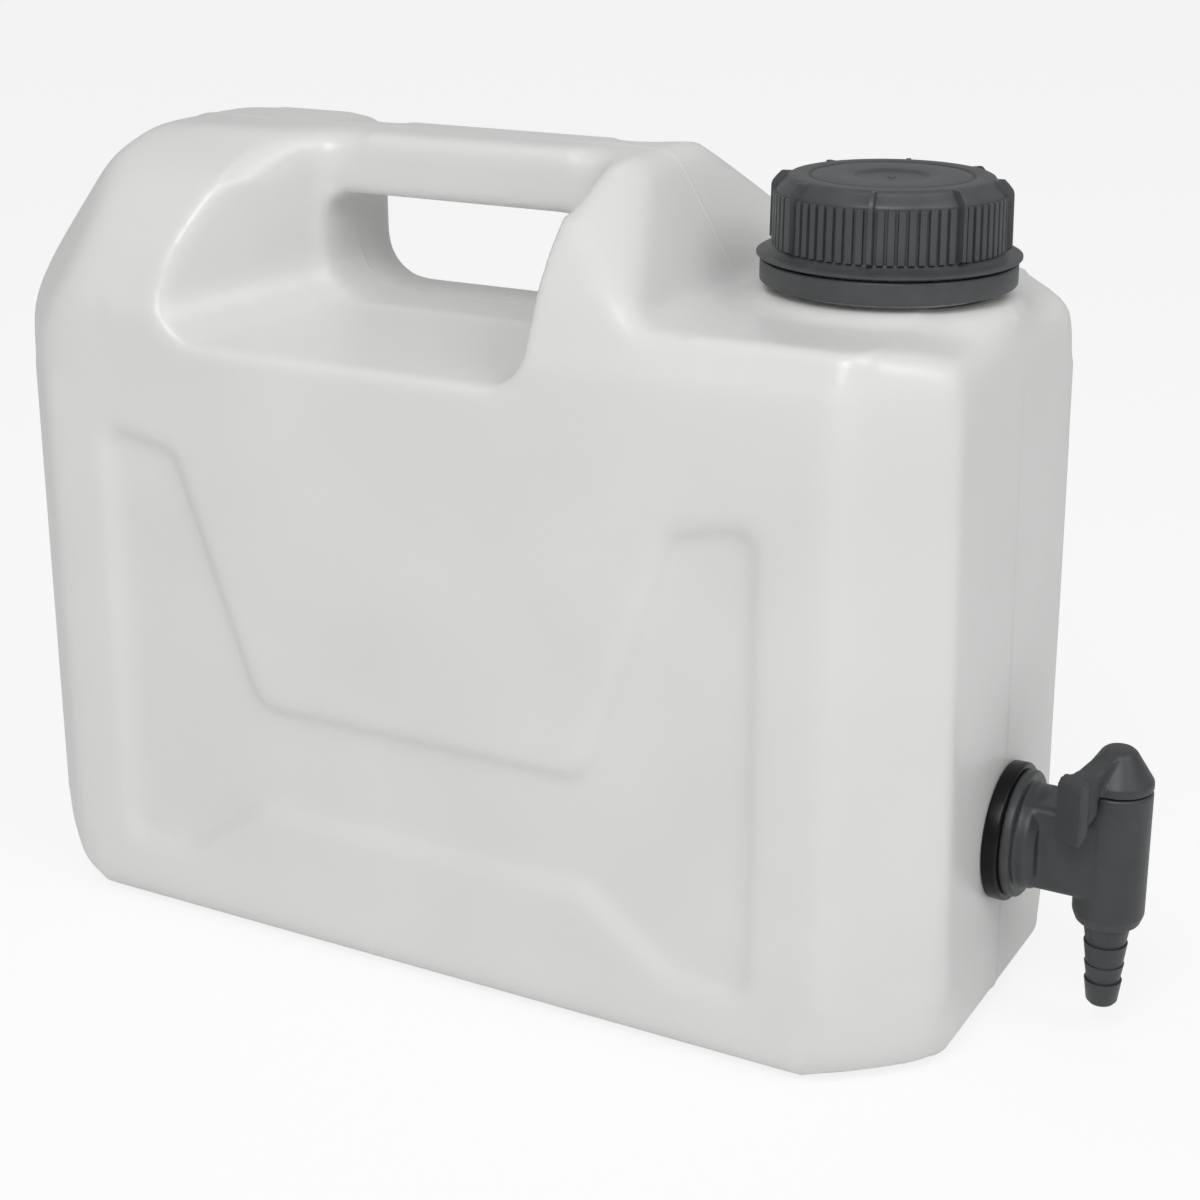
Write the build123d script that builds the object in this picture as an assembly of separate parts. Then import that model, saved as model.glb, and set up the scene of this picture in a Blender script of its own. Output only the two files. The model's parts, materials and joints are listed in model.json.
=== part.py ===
"""Five litre jerrycan with screw cap and draw-off tap.

Blow-moulded polyethylene can with a handle through its top, an external-thread neck,
a ribbed screw cap with tamper ring, and a barbed rotary tap in the lower end wall.
All dimensions in mm. X runs to the tap end, Y to the back, Z up; the can stands on z = 0.
"""
import math
import os

from build123d import *

# can shell
HALF_LEN = 138.0      # centre to either end wall, at the foot
END_DRAFT = 2.4       # how much nearer the end walls are at the shoulder line
HALF_WID = 61.7       # centre to either broad face
FACET_X = 114.0       # where a corner facet leaves the broad face
FACET_Y = 40.0        # where it meets the end wall
CORNER_R = 12.0
BASE_R = 10.0
WALL = 1.6
SHOULDER_Z = 172.0    # broad faces start to lean in here
TOP_Z = 215.5
DECK_Z = 183.0        # platform that carries the neck
DECK_FALL = 4.0       # how far it drops towards the end wall
LEAN = 17.0           # degrees, tap end's corner facets above the shoulder line
CROWN_LEAN = 30.0     # the same at the handle end
CROWN_DROP = 5.0      # how far below the shoulder line that end's facets bend
CROWN_R = 10.0        # rounding of the handle end above the shoulder line
RAMP_R = 3.0          # rounding of the ramp's side edges
RAMP_CUT = 2.5        # how far the ramp's upper corners are taken in
GRIP_R = 4.0          # top edges of the grip bar

# handle
BAR_HALF = 14.0       # half thickness of the grip bar
BAR_CORNER_R = 8.0    # hollow corner between the bar's faces and the right post
HOLE_X0, HOLE_X1 = -53.5, 24.0
HOLE_Z0, HOLE_Z1 = 171.3, 198.8
SCOOP_X1 = 33.3       # right wall of both finger scoops
SCOOP_FRONT = (-79.5, 164.8)   # left edge and sill height where the front scoop runs out
SCOOP_BACK = (-88.0, 157.5)    # the same at the back, where the palm goes
SCOOP_Y = 66.0

# sunk panel on both broad faces (left half, mirrored to the right)
PANEL = [(-94.6, 141.2), (-72.6, 136.6), (-48.6, 69.4), (-49.2, 39.4), (-73.2, 21.6), (-95.2, 21.0)]
PANEL_DEPTH = 3.0

# neck
NECK_X = 100.5
NECK_BORE = 21.0
NECK_R = 23.6
NECK_H = 26.6         # rim above the deck
BOSS_R, BOSS_H = 34.0, 3.0
BEAD_R, BEAD_H = 28.3, 6.0     # bead that holds the tamper ring down
THREAD_DEPTH = 1.7
THREAD_PITCH = 6.0
THREAD_TURNS = 1.25
THREAD_H = 14.4       # start of the thread above the deck

# closure
CAP_GAP = 0.5         # between thread crests and the wall opposite
CAP_H = 19.3
CAP_LIFT = 11.1       # foot of the cap above the deck
CAP_R = 27.2          # skirt, between its ribs
CAP_FLANGE_R, CAP_FLANGE_H = 31.9, 2.4
CAP_TOP_R, CAP_BAND_H = 24.3, 2.8
CAP_TOP_T = 2.0
RIB_COUNT, RIB_DEPTH, RIB_W = 64, 0.9, 1.2
LUG_COUNT, LUG_DEPTH, LUG_W = 8, 1.8, 4.2
RIB_TOP = 3.0         # below the cap's top
LINER_T = 1.5
RING_R, RING_H = 31.0, 5.4
RING_GAP = 0.8        # ring to cap foot, spanned by the bridges
BRIDGE_COUNT = 12

# tap
TAP_Z = 50.6
SHANK_R, SHANK_LEN = 13.2, 21.0     # through the wall
SHANK_BORE = 8.0
SHANK_CLEAR = 0.4
SEAT_R, SEAT_T = 19.0, 2.2     # pad round the hole
GASKET_R, GASKET_T = 17.7, 4.1
FLANGE_R, FLANGE_T = 16.2, 2.6
COLLAR_R, COLLAR_LEN = 13.3, 5.0    # round root of the neck outside the flange
NECK_HALF_W = 8.5
NECK_UP, NECK_DOWN = 11.6, 11.0
WASHER_R, WASHER_T = 18.0, 2.0
NUT_AF, NUT_T = 32.0, 8.0
BARREL_OUT = 28.0     # barrel axis from the end wall
BARREL_R, BARREL_BORE = 8.9, 6.5
BARREL_TOP, BARREL_FOOT = 17.6, 20.6   # above and below the shank axis
BARB_RADII = (5.5, 5.0, 4.6, 4.15)     # largest radius of each cone, from the top
BARB_DROPS = (19.7, 24.4, 30.2, 34.9, 41.5)    # their edges below the shank axis, then the tip
BARB_BORE = 2.8
KEY_CLEAR = 0.07      # plug in barrel
KEY_PORT_R = 4.0
KEY_GAP = 0.3         # cap of the key above the barrel
KEY_TOP_R, KEY_TOP_H = 4.1, 9.6
LEVER_ANGLE = 26.0    # from straight forward, turned towards the can
LEVER_LEN, LEVER_W = 17.0, 8.0
LEVER_CLEAR = 0.5     # lever to barrel
ORING_T = 1.6
ORING_HEIGHTS = (-8.5, 10.0)    # over the shank axis
KEY_DEPTH = 13.0      # foot of the barrel bore below the shank axis


def rounded(points):
    """Face from (x, y, radius) corners, each rounded with a true arc."""
    n = len(points)
    joins = []
    for i, (px, py, r) in enumerate(points):
        p = Vector(px, py)
        a = Vector(*points[i - 1][:2]) - p
        b = Vector(*points[(i + 1) % n][:2]) - p
        da, db = a.normalized(), b.normalized()
        if r <= 0:
            joins.append((p, None, p))
            continue
        half = math.acos(max(-1.0, min(1.0, da.dot(db)))) / 2
        t = r / math.tan(half)
        bis = (da + db).normalized()
        mid = p + bis * (r / math.sin(half) - r)
        joins.append((p + da * t, mid, p + db * t))
    edges = []
    for i, (start, mid, end) in enumerate(joins):
        if mid is not None:
            edges.append(ThreePointArc(start, mid, end))
        nxt = joins[(i + 1) % n][0]
        if (nxt - end).length > 1e-6:
            edges.append(Line(end, nxt))
    return make_face(Wire(edges))


def on_xz(shape, y=0.0):
    return Plane(origin=(0, y, 0), x_dir=(1, 0, 0), z_dir=(0, -1, 0)) * shape


def on_yz(shape, x=0.0):
    return Plane(origin=(x, 0, 0), x_dir=(0, 1, 0), z_dir=(1, 0, 0)) * shape


def grown(points, d):
    """Corner list moved outwards by d (inwards if negative), radii following."""
    n = len(points)
    area = sum(points[i - 1][0] * points[i][1] - points[i][0] * points[i - 1][1] for i in range(n))
    sign = 1 if area > 0 else -1
    moved = []
    for i, (px, py, r) in enumerate(points):
        ax, ay = px - points[i - 1][0], py - points[i - 1][1]
        bx, by = points[(i + 1) % n][0] - px, points[(i + 1) % n][1] - py
        la, lb = math.hypot(ax, ay), math.hypot(bx, by)
        nax, nay = sign * ay / la, -sign * ax / la
        nbx, nby = sign * by / lb, -sign * bx / lb
        k = d / (1 + nax * nbx + nay * nby)
        convex = sign * (ax * by - ay * bx) > 0
        radius = 0 if r == 0 else max(0.4, r + d if convex else r - d)
        moved.append((px + k * (nax + nbx), py + k * (nay + nby), radius))
    return moved


def ring_solid(r_out, r_in, z0, z1, centre=(0, 0)):
    loc = Location((centre[0], centre[1], z0))
    body = loc * Cylinder(r_out, z1 - z0, align=(Align.CENTER, Align.CENTER, Align.MIN))
    if r_in > 0:
        body -= loc * Cylinder(r_in, z1 - z0, align=(Align.CENTER, Align.CENTER, Align.MIN))
    return body


def turned(points, centre=(0, 0)):
    """Solid of revolution about a vertical axis from (radius, z) points."""
    prof = on_xz(make_face(Polyline(*[(r, z) for r, z in points], close=True)))
    return Location((centre[0], centre[1], 0)) * revolve(prof, Axis.Z, 360)


def can_plan():
    a, b, fx, fy, r = HALF_LEN, HALF_WID, FACET_X, FACET_Y, CORNER_R
    return [(fx, -b, r), (a, -fy, r), (a, fy, r), (fx, b, r),
            (-fx, b, r), (-a, fy, r), (-a, -fy, r), (-fx, -b, r)]


def can_side():
    a, h = HALF_LEN, HALF_LEN - END_DRAFT
    slope = END_DRAFT / SHOULDER_Z
    return [(-a - 5 * slope, -5, 0), (a + 5 * slope, -5, 0), (h, SHOULDER_Z, 20), (h - 0.8, DECK_Z - DECK_FALL, 6),
            (120.0, DECK_Z, 20), (61.5, DECK_Z, 4), (42.5, TOP_Z, 7), (-108.0, TOP_Z, 8), (-h, 177.0, 34)]


def can_end():
    b = HALF_WID
    half = [(b, SHOULDER_Z, 12), (54.5, 189.0, 30), (42.5, 204.5, 30), (20.5, TOP_Z, 8)]
    return [(-b, -5, 0), (b, -5, 0)] + half + [(-y, z, r) for y, z, r in reversed(half)]


def corner_cutters(t):
    """Slabs that lean the four corner facets inwards above the shoulder line."""
    fx, fy = HALF_LEN - FACET_X, HALF_WID - FACET_Y
    nx, ny = fy / math.hypot(fx, fy), fx / math.hypot(fx, fy)
    tools = []
    for sx, lean, z in ((1, LEAN, SHOULDER_Z), (-1, CROWN_LEAN, SHOULDER_Z - CROWN_DROP)):
        c, s = math.cos(math.radians(lean)), math.sin(math.radians(lean))
        for sy in (1, -1):
            n = Vector(sx * nx * c, sy * ny * c, s)
            base = Vector(sx * (HALF_LEN + FACET_X) / 2, sy * (HALF_WID + FACET_Y) / 2, z)
            plane = Plane(origin=base - n * t, z_dir=n)
            tools.append(plane * Box(140, 140, 60, align=(Align.CENTER, Align.CENTER, Align.MIN)))
    return tools


def ramp_cutters(t):
    """Slabs that take in the upper corners of the ramp, running out at its foot."""
    tools = []
    for sy in (1, -1):
        foot = Vector(62.5, sy * 57.5, DECK_Z)
        head = Vector(42.5, sy * 20.5, TOP_Z)
        n = Vector(0.521, sy * 0.401, 0.755)
        along = (head - n * RAMP_CUT - foot).normalized()
        across = n.cross(head - foot).normalized()
        m = along.cross(across).normalized()
        m = m if m.Z > 0 else m * -1
        plane = Plane(origin=foot - m * t, z_dir=m)
        slab = plane * Box(160, 160, 60, align=(Align.CENTER, Align.CENTER, Align.MIN))
        keep = Location((60, 0, DECK_Z - t)) * Box(90, 200, 80, align=(Align.CENTER, Align.CENTER, Align.MIN))
        tools.append(slab & keep)
    return tools


def is_crown_edge(edge):
    """Where the handle end's chamfer meets the shoulders."""
    a, m, b = edge @ 0, edge @ 0.5, edge @ 1
    return m.X < -100 and m.Z > SHOULDER_Z - 7 and abs(m.Y) > 12 and abs(a.X - b.X) > 0.5


def grip_rounding(side, t):
    """What lies outside the rounded top edge of the grip bar, between the two posts."""
    r, y, z = GRIP_R, BAR_HALF - t, TOP_Z - t
    corner = make_face(Wire([Line((y, z - r), (y + 2, z - r)), Line((y + 2, z - r), (y + 2, z + 2)),
                             Line((y + 2, z + 2), (y - r, z + 2)), Line((y - r, z + 2), (y - r, z)),
                             ThreePointArc((y - r, z), (y - r * 0.2929, z - r * 0.2929), (y, z - r))]))
    tool = extrude(on_yz(corner, HOLE_X0 - 4), SCOOP_X1 - HOLE_X0)
    return tool if side > 0 else mirror(tool, about=Plane.XZ)


def scoop(side, t):
    """Finger scoop beside the grip bar, open at the top; t grows it for the inner form."""
    x_out, z_out = SCOOP_FRONT if side < 0 else SCOOP_BACK

    def section(x0, z0, rl, rr):
        return rounded([(x0 - t, 240, 0), (x0 - t, z0 - t, rl + t),
                        (SCOOP_X1 + t, z0 - t, rr + t), (SCOOP_X1 + t, 240, 0)])

    bar_face = on_xz(section(HOLE_X0, HOLE_Z0, 13, 9), -(BAR_HALF - t))
    mouth = on_xz(section(x_out, z_out, 15, 11), -SCOOP_Y)
    body = loft([bar_face, mouth], ruled=True)
    body = fillet([e for e in body.edges() if is_bar_corner(e, t)], BAR_CORNER_R - t)
    return body if side < 0 else mirror(body, about=Plane.XZ)


def is_bar_corner(edge, t):
    """The upright corner where a scoop's right wall meets the bar's face."""
    c = edge @ 0.5
    return (abs(c.X - SCOOP_X1 - t) < 0.05 and abs(c.Y + BAR_HALF - t) < 0.05
            and edge.length > 20)


def finger_hole(t):
    face = rounded([(HOLE_X0 - t, HOLE_Z0 - t, 13 + t), (HOLE_X1 + t, HOLE_Z0 - t, 9 + t),
                    (HOLE_X1 + t, HOLE_Z1 + t, 5 + t), (HOLE_X0 - t, HOLE_Z1 + t, 6 + t)])
    return extrude(on_xz(face, 25), 50)


def panel_tool(side, t):
    """Bow-tie panel with sloping walls, sunk into one broad face."""
    a, b, c, j, k, l = [(x, z, r) for (x, z), r in zip(PANEL, (5, 5, 8, 8, 5, 5))]
    flip = lambda v: (-v[0], v[1], v[2])
    pts = [a, b, c, flip(c), flip(b), flip(a), flip(l), flip(k), flip(j), j, k, l]
    floor = on_xz(rounded(grown(pts, t - 2.6)), -(HALF_WID - PANEL_DEPTH - t))
    rim = on_xz(rounded(grown(pts, t + 3.4)), -(HALF_WID + 1.0 - t))
    body = loft([floor, rim], ruled=True)
    return body if side < 0 else mirror(body, about=Plane.XZ)


def can_form(t):
    """Outer shape of the can (t = 0) or its cavity (t = wall)."""
    body = Location((0, 0, t)) * extrude(rounded(grown(can_plan(), -t)), TOP_Z)
    body = fillet(body.edges().group_by(Axis.Z)[0], BASE_R - t)
    body &= extrude(on_xz(rounded(grown(can_side(), -t)), 80), 160)
    body &= extrude(on_yz(rounded(grown(can_end(), -t)), -160), 320)
    body = fillet([e for e in body.edges() if is_crown_edge(e)], CROWN_R - t)
    for tool in corner_cutters(t) + ramp_cutters(t):
        body -= tool
    for side in (-1, 1):
        body -= scoop(side, t)
        body -= grip_rounding(side, t)
        body -= panel_tool(side, t)
    body -= finger_hole(t)
    return body


def deck_level(h):
    return DECK_Z + h


def neck_outer():
    """Boss, neck, retaining bead and rim as one turned form."""
    z = deck_level
    return turned([(0, z(-WALL)), (BOSS_R, z(-WALL)), (BOSS_R, z(0)), (RING_R + 0.5, z(BOSS_H)),
                   (BEAD_R - 1.8, z(BOSS_H + 0.6)), (BEAD_R - 1.8, z(BEAD_H)), (BEAD_R, z(BEAD_H + 0.8)),
                   (BEAD_R, z(BEAD_H + 1.6)), (NECK_R + 1.6, z(BEAD_H + 4.2)), (NECK_R, z(BEAD_H + 4.8)),
                   (NECK_R, z(NECK_H - 0.8)), (NECK_R - 0.8, z(NECK_H)), (0, z(NECK_H))], (NECK_X, 0))


def thread(root, crest, z0, turns):
    """One helical thread rib of trapezoid section between two radii."""
    out = 1 if crest > root else -1
    path = Helix(THREAD_PITCH, THREAD_PITCH * turns, root)
    overlap = 0.3
    section = make_face(Polyline((-out * overlap, -1.3), (abs(crest - root) * out, -0.6),
                                 (abs(crest - root) * out, 0.6), (-out * overlap, 1.3), close=True))
    plane = Plane(origin=path @ 0, x_dir=(1, 0, 0), z_dir=(0, -1, 0))
    rib = sweep(plane * section, path=path, is_frenet=True)
    return Location((0, 0, z0)) * rib


def tap_seat():
    """Flat, thicker pad on the leaning end wall that the gasket and washer bear on."""
    return along_x([(-SEAT_T, 0), (-SEAT_T, SEAT_R), (0, SEAT_R), (0, 0)])


def tap_hole():
    """The hole, and what the leaning wall would leave proud of the seat."""
    hole = along_x([(-SEAT_T - 2, 0), (-SEAT_T - 2, SHANK_R + SHANK_CLEAR), (2, SHANK_R + SHANK_CLEAR), (2, 0)])
    return [hole, along_x([(0, 0), (0, SEAT_R), (2, SEAT_R), (2, 0)]),
            along_x([(-SEAT_T - 2, 0), (-SEAT_T - 2, SEAT_R), (-SEAT_T, SEAT_R), (-SEAT_T, 0)])]


def can_body():
    can = can_form(0.0) - can_form(WALL)
    can += neck_outer()
    rib = thread(NECK_R, NECK_R + THREAD_DEPTH, deck_level(THREAD_H), THREAD_TURNS)
    can += Location((NECK_X, 0, 0)) * rib
    can += tap_seat()
    bore_z = deck_level(-WALL - 1)
    can -= Location((NECK_X, 0, bore_z)) * Cylinder(
        NECK_BORE, NECK_H + 10, align=(Align.CENTER, Align.CENTER, Align.MIN))
    for tool in tap_hole():
        can -= tool
    return can


def ribbed_outline():
    """Plan of the grip: fine ribs all round the skirt."""
    points = []
    for i in range(RIB_COUNT):
        mid = 360 / RIB_COUNT * (i + 0.5)
        root = math.degrees(RIB_W * 0.75 / CAP_R)
        tip = math.degrees(RIB_W * 0.35 / CAP_R)
        for angle, r in ((-root, CAP_R), (-tip, CAP_R + RIB_DEPTH), (tip, CAP_R + RIB_DEPTH), (root, CAP_R)):
            a = math.radians(mid + angle)
            points.append((r * math.cos(a), r * math.sin(a)))
    return make_face(Polyline(*points, close=True))


def screw_cap():
    z0 = deck_level(CAP_LIFT)
    top = z0 + CAP_H
    bore = NECK_R + THREAD_DEPTH + CAP_GAP
    form = turned([(0, z0), (CAP_FLANGE_R, z0), (CAP_FLANGE_R, z0 + CAP_FLANGE_H - 0.8),
                   (CAP_R, z0 + CAP_FLANGE_H + 0.6), (CAP_R, top - CAP_BAND_H),
                   (CAP_TOP_R + 0.6, top - 0.5), (CAP_TOP_R, top), (0, top)])
    grip = Location((0, 0, z0 + 1)) * extrude(ribbed_outline(), CAP_H - 1 - RIB_TOP)
    lugs = Sketch()
    for i in range(LUG_COUNT):
        lug = Location((CAP_R - 1, 0)) * Rectangle(2 * (LUG_DEPTH + 1), LUG_W)
        lugs += Rotation(0, 0, 360 / LUG_COUNT * (i + 0.5)) * lug
    lugs = Location((0, 0, z0 + 1)) * extrude(lugs, CAP_H - 1 - 0.6)
    slope = turned([(0, z0), (CAP_FLANGE_R, z0), (CAP_R + LUG_DEPTH, z0 + CAP_FLANGE_H),
                    (CAP_R + LUG_DEPTH, top - 3.4), (CAP_TOP_R + 0.8, top - 0.4), (0, top - 0.4)])
    form += grip & slope
    form += lugs & slope
    form -= turned([(CAP_TOP_R - 6, top + 1), (CAP_TOP_R - 4.4, top + 1), (CAP_TOP_R - 4.6, top - 0.5),
                    (CAP_TOP_R - 5.8, top - 0.5)])
    form -= turned([(0, top + 1), (8.5, top + 1), (8.5, top), (7.7, top - 0.8), (0, top - 0.8)])
    form -= turned([(0, z0 - 1), (bore, z0 - 1), (bore, top - CAP_TOP_T), (0, top - CAP_TOP_T)])
    z_thread = deck_level(THREAD_H) - THREAD_PITCH / 4
    rib = thread(bore, NECK_R + CAP_GAP, z_thread, THREAD_TURNS - 0.25)
    form += Rotation(0, 0, 90) * rib
    return Location((NECK_X, 0, 0)) * form


def tamper_ring():
    z1 = deck_level(CAP_LIFT) - RING_GAP
    z0 = z1 - RING_H
    inner = BEAD_R + 0.3
    lip_top = deck_level(BEAD_H) - 0.2
    form = turned([(inner, z0), (RING_R, z0), (RING_R, z1 - 0.4), (RING_R - 0.4, z1), (inner, z1),
                   (inner, lip_top + 1.0), (BEAD_R - 1.3, lip_top), (BEAD_R - 1.3, z0 + 0.6)])
    bridges = Sketch()
    for i in range(BRIDGE_COUNT):
        stub = Location(((inner + RING_R) / 2, 0)) * Rectangle(RING_R - inner - 0.4, 1.2)
        bridges += Rotation(0, 0, 360 / BRIDGE_COUNT * i) * stub
    form += Location((0, 0, z1 - 0.2)) * extrude(bridges, RING_GAP - 0.1)
    return Location((NECK_X, 0, 0)) * form


def cap_liner():
    z1 = deck_level(CAP_LIFT) + CAP_H - CAP_TOP_T
    return ring_solid(NECK_R + CAP_GAP - 0.3, 0, z1 - LINER_T, z1, (NECK_X, 0))


def along_x(points):
    """Solid of revolution about the shank axis from (x outside the end wall, radius) points."""
    prof = on_xz(make_face(Polyline(*[(x, r) for x, r in points], close=True)))
    axis = Axis((0, 0, 0), (1, 0, 0))
    return Location((wall_x(), 0, TAP_Z)) * revolve(prof, axis, 360)


def wall_x():
    """Outside of the end wall at the tap's height."""
    return HALF_LEN - END_DRAFT * TAP_Z / SHOULDER_Z


def upright(points):
    """Solid of revolution about the barrel axis from (radius, height over the shank axis) points."""
    return turned([(r, TAP_Z + h) for r, h in points], (wall_x() + BARREL_OUT, 0))


def barb_profile():
    points = []
    for i, r in enumerate(BARB_RADII):
        points += [(r - 0.35, -BARB_DROPS[i]), (r, -BARB_DROPS[i + 1])]
    r = BARB_RADII[-1]
    points[-1:] = [(r, -BARB_DROPS[-1] + 1.2), (r - 0.9, -BARB_DROPS[-1])]
    return points


def tap_body():
    root = GASKET_T + FLANGE_T + COLLAR_LEN
    form = along_x([(-SHANK_LEN, 0), (-SHANK_LEN, SHANK_R), (GASKET_T, SHANK_R), (GASKET_T, FLANGE_R),
                    (GASKET_T + FLANGE_T - 0.5, FLANGE_R), (GASKET_T + FLANGE_T, FLANGE_R - 0.5),
                    (GASKET_T + FLANGE_T, COLLAR_R), (root - 2, COLLAR_R), (root, COLLAR_R - 2), (root, 0)])
    neck = Location((wall_x() + GASKET_T, 0, TAP_Z - NECK_DOWN)) * Box(
        BARREL_OUT - GASKET_T, 2 * NECK_HALF_W, NECK_DOWN + NECK_UP,
        align=(Align.MIN, Align.CENTER, Align.MIN))
    form += fillet(neck.edges().filter_by(Axis.X), 2.5)
    form += upright([(0, BARREL_TOP), (BARREL_R - 0.5, BARREL_TOP), (BARREL_R, BARREL_TOP - 0.5),
                     (BARREL_R, -BARREL_FOOT + 5), (BARREL_R - 1.5, -BARREL_FOOT + 1),
                     (BARREL_R - 3.2, -BARREL_FOOT), (0, -BARREL_FOOT)])
    form += upright([(0, -BARREL_FOOT + 2)] + [(BARB_RADII[0] - 0.35, -BARREL_FOOT + 2)]
                    + barb_profile() + [(0, -BARB_DROPS[-1])])
    form -= upright([(0, BARREL_TOP + 1), (BARREL_BORE, BARREL_TOP + 1), (BARREL_BORE, -KEY_DEPTH),
                     (BARB_BORE, -KEY_DEPTH - 2), (BARB_BORE, -BARB_DROPS[-1] - 1), (0, -BARB_DROPS[-1] - 1)])
    form -= along_x([(-SHANK_LEN - 1, 0), (-SHANK_LEN - 1, SHANK_BORE), (root, SHANK_BORE),
                     (root + 3, KEY_PORT_R), (BARREL_OUT, KEY_PORT_R), (BARREL_OUT, 0)])
    return form


def lever():
    """Side profile of the thumb lever, thick enough to run into the key's cap."""
    h = BARREL_TOP + KEY_GAP
    inner = BARREL_R + LEVER_CLEAR
    side = rounded([(0, h + KEY_TOP_H, 0), (0, h, 0), (inner, h, 0), (inner, h - 4.2, 0.6),
                    (LEVER_LEN, h - 10.8, 1), (LEVER_LEN, h + 5.0, 2.5), (KEY_TOP_R, h + KEY_TOP_H, 2)])
    return extrude(Plane(origin=(0, 0, 0), x_dir=(0, -1, 0), z_dir=(-1, 0, 0)) * side, LEVER_W / 2, both=True)


def tap_key():
    """Rotary plug with its waterway, conical cap and lever."""
    h = BARREL_TOP + KEY_GAP
    r = BARREL_BORE - KEY_CLEAR
    groove = ORING_T * 0.8
    points = [(0, -KEY_DEPTH + 0.3), (r - 0.5, -KEY_DEPTH + 0.3), (r, -KEY_DEPTH + 0.8)]
    for centre in ORING_HEIGHTS:
        points += [(r, centre - ORING_T / 2), (r - groove, centre - ORING_T / 2),
                   (r - groove, centre + ORING_T / 2), (r, centre + ORING_T / 2)]
    points += [(r, h), (BARREL_R, h), (BARREL_R, h + 1.2), (KEY_TOP_R, h + KEY_TOP_H - 0.5),
               (KEY_TOP_R - 0.5, h + KEY_TOP_H), (0, h + KEY_TOP_H)]
    form = upright(points)
    spot = Location((wall_x() + BARREL_OUT, 0, TAP_Z))
    form += spot * (Rotation(0, 0, -LEVER_ANGLE) * lever())
    port = Cylinder(KEY_PORT_R, 2 * BARREL_BORE, rotation=(0, 90, 0))
    port = Rotation(0, 0, 90) * port
    form -= spot * (port & Box(4 * BARREL_BORE, 4 * BARREL_BORE, 2 * BARREL_BORE))
    form -= upright([(0, 0), (KEY_PORT_R - 0.8, 0), (KEY_PORT_R - 0.8, -KEY_DEPTH - 1), (0, -KEY_DEPTH - 1)])
    return form


def key_oring(height):
    r = BARREL_BORE - KEY_CLEAR
    inner = r - ORING_T * 0.8
    return upright([(inner, height - ORING_T / 2 + 0.1), (r - 0.05, height - ORING_T / 2 + 0.1),
                    (r - 0.05, height + ORING_T / 2 - 0.1), (inner, height + ORING_T / 2 - 0.1)])


def tap_gasket():
    inner = SHANK_R + 0.1
    return along_x([(0, inner), (0, GASKET_R - 0.8), (0.9, GASKET_R), (GASKET_T - 0.9, GASKET_R),
                    (GASKET_T, GASKET_R - 0.8), (GASKET_T, inner)])


def tap_washer():
    inner = SHANK_R + 0.1
    return along_x([(-SEAT_T - WASHER_T, inner), (-SEAT_T, inner),
                    (-SEAT_T, WASHER_R), (-SEAT_T - WASHER_T, WASHER_R)])


def lock_nut():
    x1 = wall_x() - SEAT_T - WASHER_T
    hexagon = RegularPolygon(NUT_AF / 2, 6, major_radius=False) - Circle(SHANK_R + 0.05)
    nut = extrude(on_yz(Location((0, TAP_Z)) * hexagon, x1 - NUT_T), NUT_T)
    return nut & along_x([(-30, 0), (-30, NUT_AF * 0.56), (0, NUT_AF * 0.56), (0, 0)])


PARTS = {
    "can_body": can_body,
    "screw_cap": screw_cap,
    "tamper_ring": tamper_ring,
    "cap_liner": cap_liner,
    "tap_body": tap_body,
    "tap_key": tap_key,
    "key_oring_upper": lambda: key_oring(ORING_HEIGHTS[1]),
    "key_oring_lower": lambda: key_oring(ORING_HEIGHTS[0]),
    "tap_gasket": tap_gasket,
    "tap_washer": tap_washer,
    "lock_nut": lock_nut,
}

if __name__ == "__main__":
    os.makedirs("parts", exist_ok=True)
    for name, make in PARTS.items():
        solid = make()
        export_step(solid, f"parts/{name}.step")
        print(name, round(solid.volume), len(solid.solids()), solid.is_valid)
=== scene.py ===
"""Jerrycan with tap: surfaces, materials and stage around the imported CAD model.

Laid out as an add-on and run as a script. Everything is in metres, in the frame of the CAD:
X runs to the tap end, Y to the back, Z up, and the can stands on z = 0.
"""

import json
import math

import bmesh
import bpy
from mathutils import Matrix, Vector

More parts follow.
